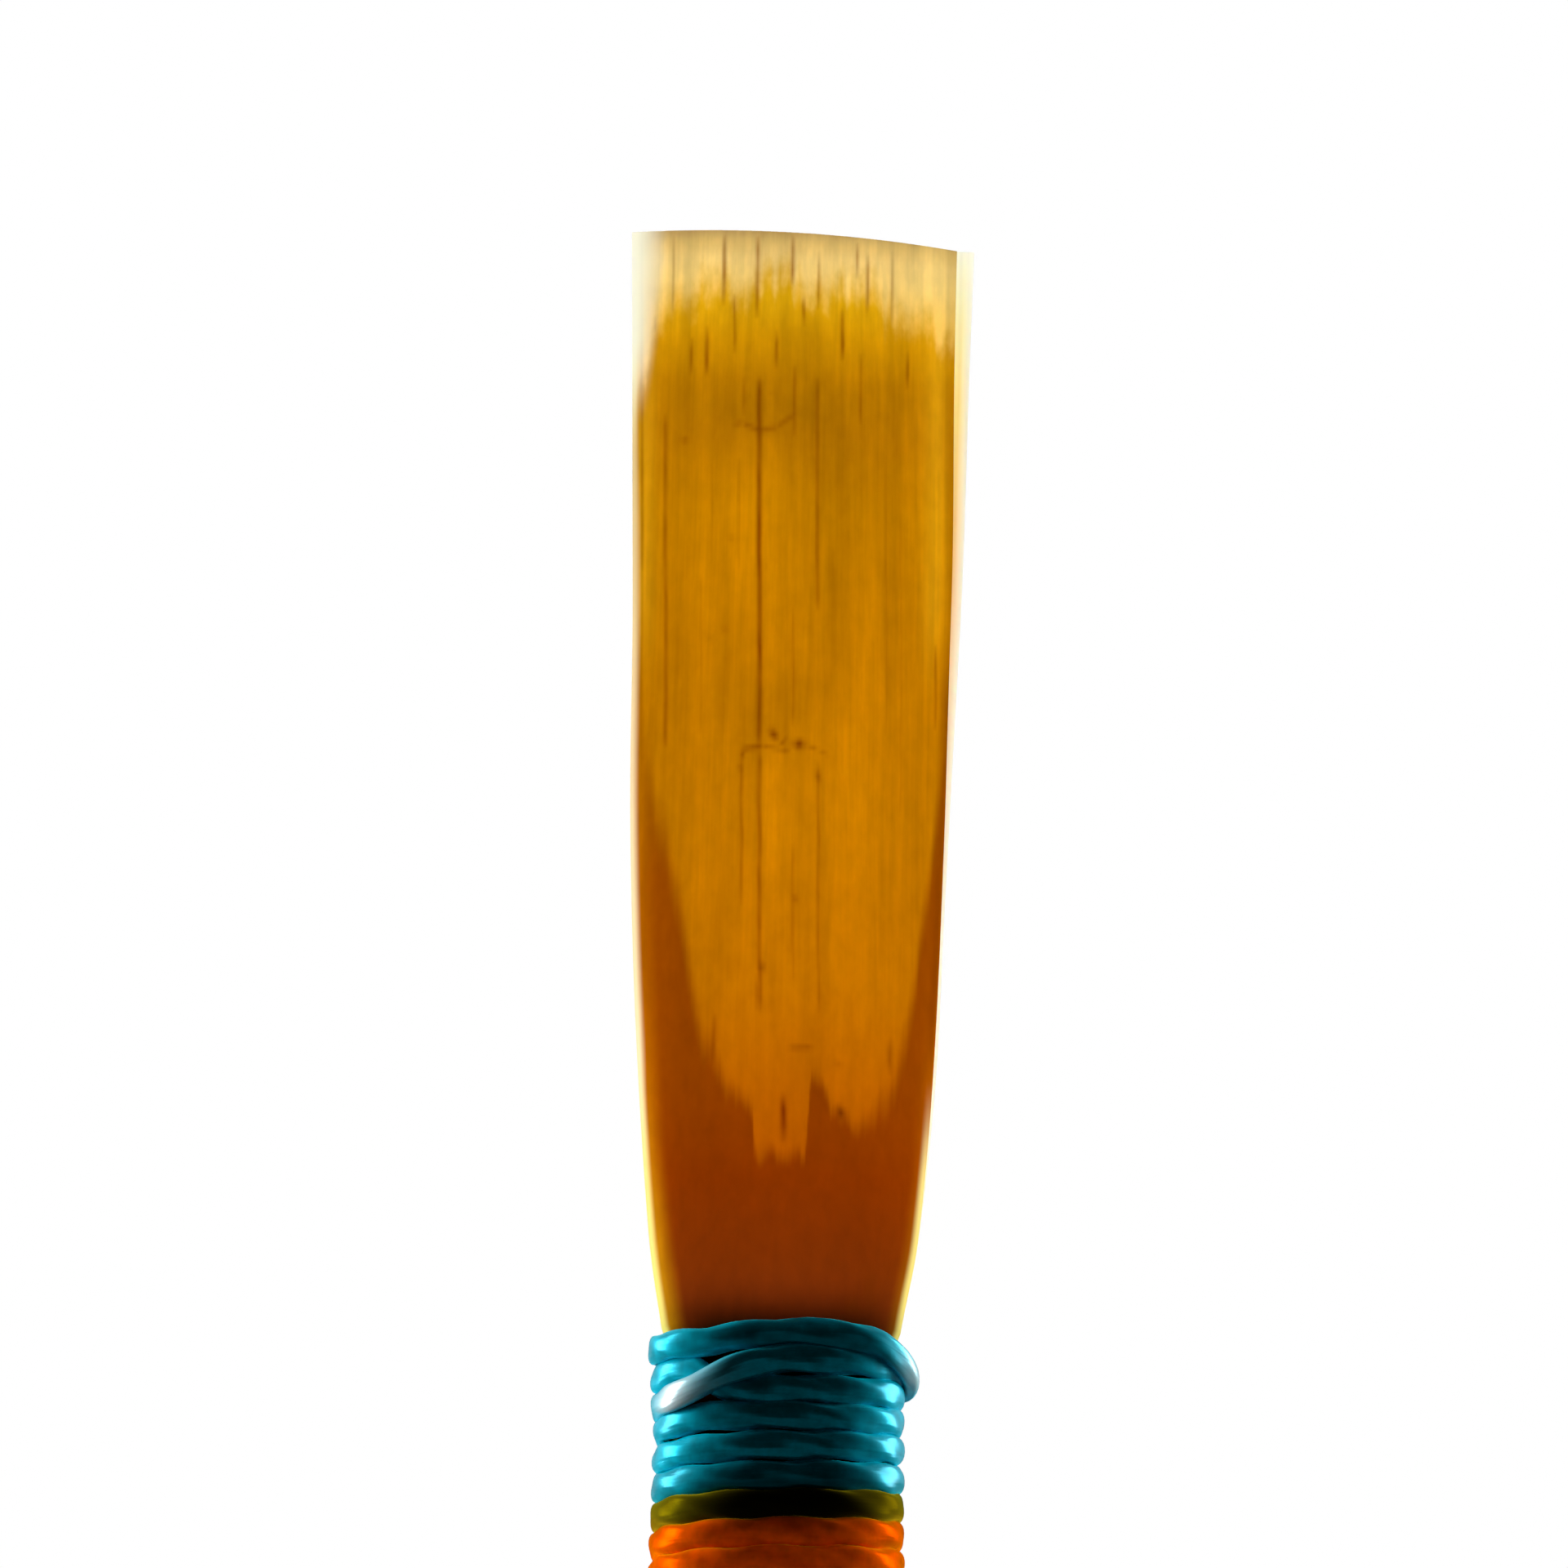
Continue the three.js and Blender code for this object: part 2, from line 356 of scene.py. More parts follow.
def add_node(tree, kind, inputs=None, stops=None, **settings):
    """Adds a node with its settings. An input is a value, a hex colour or another node's output."""
    made = tree.nodes.new("ShaderNode" + kind)
    for name, value in settings.items():
        setattr(made, name, value)
    for name, value in (inputs or {}).items():
        if isinstance(value, bpy.types.NodeSocket):
            tree.links.new(value, made.inputs[name])
        elif isinstance(value, str):
            made.inputs[name].default_value = linear(value)
        else:
            made.inputs[name].default_value = value
    if stops:
        elements = made.color_ramp.elements
        while len(elements) < len(stops):
            elements.new(1)
        for element, (position, colour) in zip(elements, stops):
            element.position = position
            element.color = linear(colour)
    return made


def new_material(name):
    material = bpy.data.materials.new(name)
    material.use_nodes = True
    material.node_tree.nodes.clear()
    return material, material.node_tree


# Socket numbers of a colour Mix node
FACTOR, COLOUR_A, COLOUR_B, MIXED = 0, 6, 7, 2


# Materials. The cane's colours change with the share of the way from the thread up to the tip.

WOOD_STOPS = [
    (0.0, "#c07c08"), (0.1, "#bc6c00"), (0.15, "#b45600"), (0.21, "#be6300"), (0.3, "#c47200"),
    (0.45, "#c67a00"), (0.6, "#c67c00"), (0.74, "#c47f00"), (0.81, "#ba7702"), (0.86, "#bd7c02"),
    (0.9, "#d09104"), (0.94, "#dca50c"),
]
BARK_STOPS = [
    (0.0, "#742b0a"), (0.05, "#7d2f04"), (0.13, "#893300"), (0.22, "#934000"), (0.4, "#984800"),
    (0.55, "#a36000"), (0.75, "#b98400"),
]
PALE_STOPS = [
    (0.86, "#f0c46a"), (0.92, "#efc058"), (0.955, "#f2cc74"), (0.975, "#ecc876"), (0.99, "#d8b466"),
    (1.0, "#b99758"),
]
# Painted rim light along the edges, where light comes through the thin cane
RIM_LIGHT_STOPS = [
    (0.0, "#fff080"), (0.14, "#ffe88c"), (0.24, "#fae6b4"), (0.5, "#ebd0a0"), (0.8, "#e6c88c"),
    (0.9, "#fff4b8"),
]
STRAW_STOPS = [
    (0.0, "#f6cc6c"), (0.25, "#fbd890"), (0.45, "#f8c888"), (0.7, "#fac77c"), (0.85, "#fddc82"),
    (0.93, "#fff0b0"), (1.0, "#fffae0"),
]
# Long grain: fibre bundles about 0.15 mm wide, bands about 0.6 mm wide, and soft mottling.
# Each has its waves in a metre along x, y and z, its detail, and how dark and how light it goes.
FINE_GRAIN = (6500, 6500, 190), 3, 0.945, 1.05
BAND_GRAIN = (1900, 1900, 60), 2, 0.92, 1.08
MOTTLE_GRAIN = (3000, 3000, 1600), 3, 0.93, 1.06
STRAW_GRAIN = (5000, 5000, 150), 3, 0.9, 1.05
# Most of a noise's values lie between these
NOISE_LOW = 0.3
NOISE_HIGH = 0.7


def share_up(tree, place):
    """The share of the way from the thread up to the tip."""
    height = add_node(tree, "SeparateXYZ", {0: place}).outputs["Z"]
    limits = {"Value": height, "From Min": THREAD_TOP_Z * MM, "From Max": TIP_Z * MM}
    return add_node(tree, "MapRange", limits).outputs[0]


def stretched_noise(tree, place, waves, detail, dimensions="3D"):
    """Noise that is drawn out one way."""
    stretched = add_node(tree, "Mapping", {0: place, "Scale": waves}).outputs[0]
    inputs = {"Vector": stretched, "Scale": 1, "Detail": detail}
    return add_node(tree, "TexNoise", inputs, noise_dimensions=dimensions).outputs[0]


def ranged_noise(tree, place, waves, detail, low, high):
    """Noise that is drawn out one way, and the same noise brought between two values."""
    noise = stretched_noise(tree, place, waves, detail)
    limits = {"Value": noise, "From Min": NOISE_LOW, "From Max": NOISE_HIGH}
    limits |= {"To Min": low, "To Max": high}
    return noise, add_node(tree, "MapRange", limits).outputs[0]


def scraped_cane():
    """Giant reed cane, scraped with a knife: waxy brown bark low down, amber wood with long fibres,
    and a pale thin tip."""
    material, tree = new_material("scraped_cane")
    place = add_node(tree, "TexCoord").outputs["Object"]
    up = share_up(tree, place)
    wood, bark, pale, rim_light_colour = [
        add_node(tree, "ValToRGB", {0: up}, stops=stops).outputs[0]
        for stops in (WOOD_STOPS, BARK_STOPS, PALE_STOPS, RIM_LIGHT_STOPS)
    ]
    marks = {
        name: add_node(tree, "Attribute", attribute_name=name).outputs["Fac"]
        for name in ("bark", "pale", "painted_rim_light", "thin", "stain_and_shade", "fibre", "tone_and_shade", "painted_gold_glow")
    }
    fine, fine_light = ranged_noise(tree, place, *FINE_GRAIN)
    band_light = ranged_noise(tree, place, *BAND_GRAIN)[1]
    mottle, mottle_light = ranged_noise(tree, place, *MOTTLE_GRAIN)
    # The pale tip begins in ragged patches
    ragged = {0: mottle, 1: 0.8, 2: marks["pale"]}
    patchy = add_node(tree, "Math", ragged, operation="MULTIPLY_ADD").outputs[0]
    limits = {"Value": patchy, "From Min": 0, "From Max": 0.95}
    pale_share = add_node(tree, "MapRange", limits, interpolation_type="SMOOTHSTEP").outputs[0]
    colour = wood
    # Mixed over the wood: the painted gold glow near the edges, the bark and the pale tip
    for factor, layer in [(marks["painted_gold_glow"], "#e0a816"), (marks["bark"], bark), (pale_share, pale)]:
        inputs = {FACTOR: factor, COLOUR_A: colour, COLOUR_B: layer}
        colour = add_node(tree, "Mix", inputs, data_type="RGBA").outputs[MIXED]
    # The grain hardly shows on the bark, and more towards the tip
    grain = add_node(tree, "Math", {0: fine_light, 1: band_light}, operation="MULTIPLY").outputs[0]
    grain = add_node(tree, "Math", {0: grain, 1: 1}, operation="SUBTRACT").outputs[0]
    inputs = {0: marks["bark"], 1: -0.7, 2: 1}
    on_wood = add_node(tree, "Math", inputs, operation="MULTIPLY_ADD").outputs[0]
    limits = {"Value": up, "From Min": 0.2, "From Max": 0.5, "To Min": 0.6, "To Max": 1.5}
    upward = add_node(tree, "MapRange", limits).outputs[0]
    on_wood = add_node(tree, "Math", {0: on_wood, 1: upward}, operation="MULTIPLY").outputs[0]
    light = add_node(tree, "Math", {0: grain, 1: on_wood, 2: 1}, operation="MULTIPLY_ADD").outputs[0]
    light = add_node(tree, "Math", {0: light, 1: mottle_light}, operation="MULTIPLY").outputs[0]
    inputs = {0: light, 1: marks["tone_and_shade"], 2: light}
    light = add_node(tree, "Math", inputs, operation="MULTIPLY_ADD").outputs[0]
    colour = add_node(tree, "VectorMath", {0: colour, "Scale": light}, operation="SCALE").outputs[0]
    # Stains with the painted edge shade, fibres, the painted rim light and the painted glow of the thin
    # corner
    for mark, layer, blend in [
        ("stain_and_shade", "#742e00", "MIX"),
        ("fibre", "#9c6214", "MULTIPLY"),
        ("painted_rim_light", rim_light_colour, "MIX"),
        ("thin", "#fffbe0", "MIX"),
    ]:
        inputs = {FACTOR: marks[mark], COLOUR_A: colour, COLOUR_B: layer}
        colour = add_node(tree, "Mix", inputs, data_type="RGBA", blend_type=blend).outputs[MIXED]
    bump = add_node(tree, "Bump", {"Height": fine, "Strength": 0.25, "Distance": 0.00002}).outputs[0]
    limits = {"Value": marks["bark"], "To Min": 0.58, "To Max": 0.4}
    rough = add_node(tree, "MapRange", limits).outputs[0]
    inputs = {
        "Base Color": colour,
        "Roughness": rough,
        "Normal": bump,
        "Specular IOR Level": 0,
        "Sheen Weight": 0.3,
        "Sheen Roughness": 0.4,
        "Sheen Tint": "#f09000",
        "Subsurface Weight": 0.08,
        "Subsurface Radius": (1, 0.7, 0.3),
        "Subsurface Scale": 0.0002,
    }
    shader = add_node(tree, "BsdfPrincipled", inputs)
    add_node(tree, "OutputMaterial", {"Surface": shader.outputs[0]})
    return material


def gouged_cane():
    """The inside and the cut edges of the cane: smooth, pale straw, with the grain just visible."""
    material, tree = new_material("gouged_cane")
    place = add_node(tree, "TexCoord").outputs["Object"]
    straw = add_node(tree, "ValToRGB", {0: share_up(tree, place)}, stops=STRAW_STOPS).outputs[0]
    light = ranged_noise(tree, place, *STRAW_GRAIN)[1]
    # The light shines through the cut edges, most where they are thinnest
    outer = add_node(tree, "Attribute", attribute_name="outer").outputs["Fac"]
    outer = add_node(tree, "MapRange", {"Value": outer, "From Min": 0.25, "To Max": 0.9}).outputs[0]
    inputs = {FACTOR: outer, COLOUR_A: straw, COLOUR_B: "#fffae6"}
    straw = add_node(tree, "Mix", inputs, data_type="RGBA").outputs[MIXED]
    grained = add_node(tree, "VectorMath", {0: straw, "Scale": light}, operation="SCALE").outputs[0]
    inputs = {"Base Color": grained, "Roughness": 0.6}
    inputs |= {"Subsurface Weight": 0.15, "Subsurface Scale": 0.0003}
    shader = add_node(tree, "BsdfPrincipled", inputs)
    add_node(tree, "OutputMaterial", {"Surface": shader.outputs[0]})
    return material


def dyed_nylon(name, light_colour, groove_shade_colour, glow_colour, silk, shine):
    """Bonded nylon thread: twisted shiny filaments, with painted shade in the grooves between the plies.
    Light that grazes the clear fibres comes back in the dye's colour, so the outline glows."""
    material, tree = new_material(name)
    along = add_node(tree, "UVMap", uv_map="UVMap").outputs[0]
    filament = stretched_noise(tree, along, (18, 1.6, 1), 2, "2D")
    painted_groove_shade, painted_shading, painted_highlight = [
        add_node(tree, "Attribute", attribute_name=attribute).outputs["Fac"]
        for attribute in ("painted_groove_shade", "painted_shading", "painted_highlight")
    ]
    # Painted shade in the grooves between the plies
    dark = add_node(tree, "Math", {0: filament, 1: 0.5}, operation="MULTIPLY").outputs[0]
    dark = add_node(tree, "Math", {0: painted_groove_shade, 1: dark}, operation="MULTIPLY").outputs[0]
    inputs = {FACTOR: dark, COLOUR_A: light_colour, COLOUR_B: groove_shade_colour}
    colour = add_node(tree, "Mix", inputs, data_type="RGBA").outputs[MIXED]
    # The dye took unevenly, in patches about half a millimetre wide
    place = add_node(tree, "TexCoord").outputs["Object"]
    patch = add_node(tree, "TexNoise", {"Vector": place, "Scale": 1700, "Detail": 3}).outputs[0]
    limits = {"Value": patch, "From Min": 0.35, "From Max": 0.65, "To Min": 0.68, "To Max": 1.12}
    patch = add_node(tree, "MapRange", limits).outputs[0]
    # The painted shade written on the mesh darkens the colour further
    patch = add_node(tree, "Math", {0: patch, 1: painted_shading}, operation="MULTIPLY").outputs[0]
    colour = add_node(tree, "VectorMath", {0: colour, "Scale": patch}, operation="SCALE").outputs[0]
    # Painted highlight: it goes from light teal to white
    inputs = {FACTOR: painted_highlight, COLOUR_A: "#10dcf4", COLOUR_B: "#f4ffff"}
    highlight_colour = add_node(tree, "Mix", inputs, data_type="RGBA").outputs[MIXED]
    inputs = {FACTOR: painted_highlight, COLOUR_A: colour, COLOUR_B: highlight_colour}
    colour = add_node(tree, "Mix", inputs, data_type="RGBA").outputs[MIXED]
    bump = add_node(tree, "Bump", {"Height": filament, "Strength": 0.25, "Distance": 0.00003}).outputs[0]
    inputs = {
        "Base Color": colour,
        "Metallic": silk,
        "Roughness": 0.26,
        "Normal": bump,
        "IOR": 1.53,
        "Specular IOR Level": shine,
        "Specular Tint": glow_colour,
        "Sheen Weight": 1,
        "Sheen Roughness": 0.4,
        "Sheen Tint": glow_colour,
        "Subsurface Weight": 0.1,
        "Subsurface Scale": 0.0002,
    }
    shader = add_node(tree, "BsdfPrincipled", inputs)
    add_node(tree, "OutputMaterial", {"Surface": shader.outputs[0]})
    return material


def drawn_brass():
    """Drawn brass tube: bright, with fine lines along it and a little brown tarnish."""
    material, tree = new_material("drawn_brass")
    place = add_node(tree, "TexCoord").outputs["Object"]
    line = stretched_noise(tree, place, (9000, 9000, 150), 3)
    tarnish, rough = ranged_noise(tree, place, (350, 350, 200), 5, 0.16, 0.34)
    limits = {"Value": tarnish, "From Min": 0.45, "From Max": 0.75, "To Max": 0.6}
    patch = add_node(tree, "MapRange", limits).outputs[0]
    inputs = {FACTOR: patch, COLOUR_A: "#dfb75c", COLOUR_B: "#a9762f"}
    colour = add_node(tree, "Mix", inputs, data_type="RGBA").outputs[MIXED]
    bump = add_node(tree, "Bump", {"Height": line, "Strength": 0.15, "Distance": 0.00001}).outputs[0]
    inputs = {"Base Color": colour, "Metallic": 1, "Roughness": rough, "Normal": bump}
    shader = add_node(tree, "BsdfPrincipled", inputs)
    add_node(tree, "OutputMaterial", {"Surface": shader.outputs[0]})
    return material


# Staple


def make_staple():
    """A wall profile spun round the axis, then tapered and pressed oval at the top."""
    bpy.ops.mesh.primitive_plane_add(size=1)
    staple = bpy.context.object
    # The profile is a strip, one unit high: x is 0 inside and 1 outside, z is the share of the length
    points = read_points(staple)
    write_points(staple, np.stack([points[:, 0] + 0.5, 0 * points[:, 0], points[:, 1] + 0.5], axis=1))
    edit("SELECT")
    bpy.ops.mesh.delete(type="ONLY_FACE")
    bpy.ops.mesh.select_mode(type="EDGE")
    stop_editing()
    for edge in staple.data.edges:
        low, high = [staple.data.vertices[i].co.z for i in edge.vertices]
        edge.select = low != high
    edit()
    bpy.ops.mesh.subdivide(number_cuts=STAPLE_ROWS)
    bpy.ops.mesh.select_all(action="SELECT")
    stop_editing()
    profile = read_points(staple)
    z = profile[:, 2] * STAPLE_LENGTH
    radius = SPUN_RADIUS + staple_wall(z) * profile[:, 0]
    write_points(staple, np.stack([radius, 0 * z, z], axis=1))
    # The four corners of the wall are rounded
    edit("DESELECT")
    bpy.ops.mesh.select_mode(type="VERT")
    stop_editing()
    for vertex in staple.data.vertices:
        vertex.select = vertex.co.z < WELD_DISTANCE or vertex.co.z > STAPLE_LENGTH - WELD_DISTANCE
    edit()
    bpy.ops.mesh.bevel(offset=STAPLE_RIM_ROUNDING, segments=STAPLE_RIM_STEPS, affect="VERTICES")
    bpy.ops.mesh.select_all(action="SELECT")
    bpy.ops.mesh.spin(steps=STAPLE_SIDES, angle=TURN, center=(0, 0, 0), axis=(0, 0, 1))
    bpy.ops.mesh.select_all(action="SELECT")
    bpy.ops.mesh.remove_doubles(threshold=WELD_DISTANCE)
    stop_editing()
    points = read_points(staple)
    angle = np.arctan2(points[:, 1], points[:, 0])
    z = points[:, 2]
    from_bore = np.hypot(points[:, 0], points[:, 1]) - SPUN_RADIUS
    half_width, half_depth = staple_bore(z)
    # The soldered seam is a low ridge along the back of the outside
    from_seam = np.abs(np.angle(np.exp(1j * (angle - TURN / 4)))) * half_depth
    ridge = SEAM_DEPTH * hump(from_seam, 0, SEAM_WIDTH) * share(from_bore / staple_wall(z), 0.5, 1)
    x = (half_width + from_bore) * np.cos(angle)
    y = (half_depth + from_bore + ridge) * np.sin(angle)
    write_points(staple, np.stack([x, y, z], axis=1))
    finish_piece(staple, "staple_tube", ["staple"], [drawn_brass()])


# Cane blades. Marks on the front blade are read off the photograph, in its pixels.

BARK_END_PX = [
    (776, 700), (784, 820), (790, 900), (804, 982), (820, 1056), (837, 1145), (849, 1222), (859, 1277),
    (874, 1292), (887, 1329), (906, 1342), (921, 1361), (924, 1409), (952, 1416), (986, 1409),
    (993, 1317), (1006, 1329), (1015, 1358), (1034, 1368), (1052, 1379), (1068, 1372), (1078, 1354),
    (1087, 1341), (1096, 1319), (1109, 1270), (1120, 1208), (1126, 1146), (1138, 1076), (1148, 987),
    (1160, 898), (1166, 760), (1170, 600),
]
PALE_END_PX = [
    (776, 500), (786, 470), (795, 440), (806, 398), (820, 376), (850, 362), (900, 356), (960, 352),
    (1010, 356), (1060, 366), (1085, 384), (1110, 398), (1140, 408), (1170, 420),
]
# Dark fibres: x, from y, to y, half width and how dark
FIBRES_PX = [
    (824, 288, 385, 1.5, 0.45), (886, 288, 376, 2, 0.75), (927, 288, 391, 2, 0.8),
    (970, 288, 351, 2, 0.85), (1002, 307, 379, 1.6, 0.6), (1049, 294, 341, 1.6, 0.7),
    (1062, 307, 385, 1.8, 0.7), (1092, 301, 397, 1.6, 0.55), (802, 385, 410, 1.5, 0.5),
    (846, 413, 460, 2, 0.6), (865, 400, 460, 2.2, 0.8), (899, 360, 435, 1.8, 0.6),
    (950, 404, 454, 2, 0.7), (984, 360, 401, 2, 0.7), (1031, 376, 441, 2.2, 0.85),
    (1054, 432, 520, 1.6, 0.45), (1111, 429, 476, 2, 0.7), (973, 447, 535, 1.8, 0.55),
    (911, 460, 510, 1.8, 0.4), (930, 463, 915, 2.6, 0.9), (930, 915, 1240, 2.2, 0.65),
    (1001, 463, 750, 2, 0.5), (1002, 930, 1240, 1.5, 0.4), (815, 505, 915, 2.2, 0.55),
    (908, 925, 1110, 1.6, 0.45), (971, 740, 890, 1.3, 0.35), (787, 485, 700, 1.8, 0.35),
    (971, 1030, 1200, 1.4, 0.35), (874, 1241, 1300, 2.6, 0.5), (1090, 1269, 1316, 2.4, 0.45),
    (959, 1341, 1397, 3.4, 0.95), (1145, 790, 895, 1.6, 0.5), (926, 1190, 1238, 2, 0.45),
    (905, 560, 700, 1.2, 0.25), (872, 560, 690, 1.2, 0.2), (1085, 560, 900, 1.2, 0.2),
    (1103, 620, 1000, 1.2, 0.2), (858, 700, 900, 1.2, 0.2),
]
FIBRE_TRIM_PX = 3
FIBRE_SOFTNESS = 1.25
FIBRE_END_FADE = 0.3
# Fibres wobble sideways and come and go: how much, and along what length
FIBRE_WOBBLE = 0.02
WOBBLE_LENGTH = 0.9
FIBRE_STRENGTH = 0.8
FIBRE_VARIES_BY = 0.22
VARIES_LENGTH = 0.5
# The rear blade, which the photograph hides, has its fibres this much aside, and no scratches
REAR_SHIFT_PX = -17
# Scratches and specks: from x, y to x, y, half width and how dark
STROKES_PX = [
    (909, 928, 909, 918, 2.2, 0.6), (909, 917, 934, 914, 2.6, 0.65), (934, 914, 966, 919, 2.2, 0.45),
    (944, 894, 951, 905, 3.8, 0.85), (973, 911, 984, 912, 5, 0.95), (955, 912, 962, 905, 2.4, 0.55),
    (986, 912, 1000, 917, 2.2, 0.4), (1000, 917, 1014, 925, 2, 0.25), (899, 520, 910, 517, 3, 0.35),
    (910, 518, 930, 527, 3, 0.42), (930, 527, 952, 523, 3, 0.42), (952, 522, 972, 508, 3, 0.4),
    (836, 538, 842, 539, 4, 0.45), (967, 1283, 994, 1283, 2.6, 0.55), (1028, 1356, 1031, 1370, 4, 0.95),
    (1024, 1302, 1029, 1304, 3.4, 0.3), (973, 1098, 975, 1103, 3.4, 0.6), (932, 1180, 934, 1187, 4, 0.65),
    (1001, 945, 1003, 957, 3, 0.45), (886, 769, 890, 772, 4, 0.25), (868, 778, 872, 784, 4, 0.2),
    (893, 655, 899, 662, 4, 0.25), (942, 480, 946, 482, 3, 0.25), (1043, 1590, 1047, 1612, 8, 0.45),
    (1066, 1560, 1068, 1600, 9, 0.3), (905, 936, 907, 944, 2.5, 0.35),
]
STROKE_SOFTNESS = 1.2
STROKE_END_FADE = 0.08
# Fibres and strokes are this faint at their very ends
END_STRENGTH = 0.4
# Soft lighter and darker areas: middle x, y, half width, half height and how much lighter
TONES_PX = [
    (1025, 590, 42, 120, -0.17), (1015, 750, 32, 95, -0.16), (945, 495, 66, 46, -0.2),
    (860, 505, 45, 45, -0.05), (985, 420, 30, 34, -0.18), (1065, 490, 45, 40, -0.04),
    (905, 655, 26, 130, 0.2), (952, 720, 18, 130, 0.04), (1143, 560, 26, 200, 0.14),
    (1153, 690, 10, 200, 0.1), (792, 500, 16, 130, 0.1), (985, 855, 34, 48, -0.14),
    (940, 870, 30, 40, -0.14), (850, 880, 60, 110, -0.12), (830, 1000, 26, 60, -0.08),
    (1145, 1000, 22, 130, -0.08), (1075, 980, 50, 120, 0.02), (948, 1010, 20, 90, 0.12),
    (986, 1090, 16, 190, -0.08), (860, 1200, 30, 140, -0.1), (1000, 1330, 16, 60, -0.12),
    (1100, 1180, 26, 130, 0.05), (940, 1330, 36, 60, -0.05), (1092, 1450, 38, 120, 0.16),
]

# How the ends of the bark and of the wood are ragged: how far up and down, how wide and which seed
BARK_RAGGED = [(0.16, 0.13, 0), (0.2, 0.4, 1), (0.1, 0.05, 5)]
PALE_RAGGED = [(0.34, 0.12, 2), (0.22, 0.35, 3)]
# The bark ends softly, and more softly the further it is from this x
BARK_SHARPEST_X = 0.2
BARK_SOFTENS_X = 1, 3.2
BARK_SOFTNESS = 0.6, 2.2
PALE_SOFTNESS = 1.4

# Marks along the edges: painted rim light and painted glow where light comes through the thin edges,
# painted shade along the right edge and a dark line. A pair of heights, or of distances from an edge,
# is where a mark begins to change and where that change is complete.
RIM_LEFT_FROM = 0.03
RIM_LEFT_TO = 0.18, 0.22
RIM_WIDENS_Z = 33, 35
RIM_NARROWS_Z = 47, 50
RIM_RIGHT = 0.05, 0.25
RIM_RIGHT_ENDS_Z = 31, 34
AMBER_LEFT = 0.08, 0.62
AMBER_LEFT_WEAKENS_Z = 32.5, 37.5
AMBER_RIGHT = 0.08, 0.5
AMBER_RIGHT_ENDS_Z = 32.5, 36
AMBER_WEAK = 0.45
AMBER_OVER_BARK = 0.85
THIN_STARTS_Z = 50, 52.5
THIN_WIDENS_Z = 50, 54.2
THIN_WIDTHS = 0.35, 1
# Painted shade along the right edge, in the gap next to the rear blade
EDGE_SHADE_WIDTH = 0.03, 0.35
EDGE_SHADE_STARTS_Z = 33, 36
EDGE_SHADE_WEAKENS_Z = 43, 45.5
EDGE_SHADE_WEAKENS_BY = 0.75
EDGE_SHADE_STRENGTH = 0.6
EDGE_LINE_HUMP = 0.23, 0.04
EDGE_LINE_STARTS_Z = 41, 44
EDGE_LINE_STRENGTH = 0.25
GOLD_LEFT = 0.1, 0.8
GOLD_RIGHT_HUMP = 0.45, 0.3
GOLD_RIGHT_STRENGTH = 0.7
GOLD_STARTS_Z = 43, 46
GOLD_STRENGTH = 0.5
LOW_GOLD_ENDS_Z = 31, 36
LOW_GOLD_STRENGTH = 0.35
# Painted shade: under the winding the cane is painted dark
TIED_SHADE_DEPTH = 0.5
TIED_SHADE_STRENGTH = 0.85

NOISE_KNOTS = 400


def grain_noise(x, width, seed):
    """A value from -1 to 1 that changes across the grain about once in each width."""
    knots = np.random.default_rng(seed).uniform(-1, 1, NOISE_KNOTS)
    return np.interp(x / width, np.arange(NOISE_KNOTS) - NOISE_KNOTS // 2, knots)


def shadow_of(x, z, strokes, fade):
    """How dark the strokes leave each point. Strokes are two ends, a half width and a strength."""
    dark = np.zeros_like(x)
    for (from_x, from_z), (to_x, to_z), half_width, strength in strokes:
        length_squared = (to_x - from_x) ** 2 + (to_z - from_z) ** 2
        along = ((x - from_x) * (to_x - from_x) + (z - from_z) * (to_z - from_z)) / length_squared
        along = np.clip(along, 0, 1)
        apart = np.hypot(x - between(from_x, to_x, along), z - between(from_z, to_z, along))
        from_end = np.minimum(along, 1 - along) * math.sqrt(length_squared)
        strength = strength * between(END_STRENGTH, 1, share(from_end, 0, fade))
        dark = np.maximum(dark, strength * hump(apart, 0, half_width))
    return dark


def above_line(x, z, line_px, ragged, seed):
    """How far each point is above a line of the photograph that is ragged along the grain."""
    line_x, line_z = zip(*[on_blade(*point) for point in line_px])
    teeth = sum(reach * grain_noise(x, width, seed + own_seed) for reach, width, own_seed in ragged)
    return z - np.interp(x, line_x, line_z) - teeth


def bark_left(x, z, seed):
    """Where the knife left the bark."""
    softness = between(*BARK_SOFTNESS, grows(np.abs(x - BARK_SHARPEST_X), *BARK_SOFTENS_X))
    above = above_line(x, z, BARK_END_PX, BARK_RAGGED, seed)
    return grows(-above / softness, -0.5, 0.5)


def fibres_shown(x, z, side, seed):
    """The dark fibres."""
    aside = REAR_SHIFT_PX if side == REAR else 0
    fibres = []
    for x_px, from_y, to_y, half_px, strength in FIBRES_PX:
        upper = on_blade(x_px + aside, from_y + FIBRE_TRIM_PX)
        lower = on_blade(x_px + aside, to_y - FIBRE_TRIM_PX)
        fibres.append((upper, lower, FIBRE_SOFTNESS * half_px * PX, strength))
    wobble = FIBRE_WOBBLE * grain_noise(z, WOBBLE_LENGTH, seed + 4)
    strength = FIBRE_STRENGTH + FIBRE_VARIES_BY * grain_noise(z + 3 * x, VARIES_LENGTH, seed + 7)
    return shadow_of(x + wobble, z, fibres, FIBRE_END_FADE) * strength


def strokes_shown(x, z):
    """The scratches and specks."""
    strokes = []
    for from_x, from_y, to_x, to_y, half_px, strength in STROKES_PX:
        ends = on_blade(from_x, from_y), on_blade(to_x, to_y)
        strokes.append((*ends, STROKE_SOFTNESS * half_px * PX, strength))
    return shadow_of(x, z, strokes, STROKE_END_FADE)


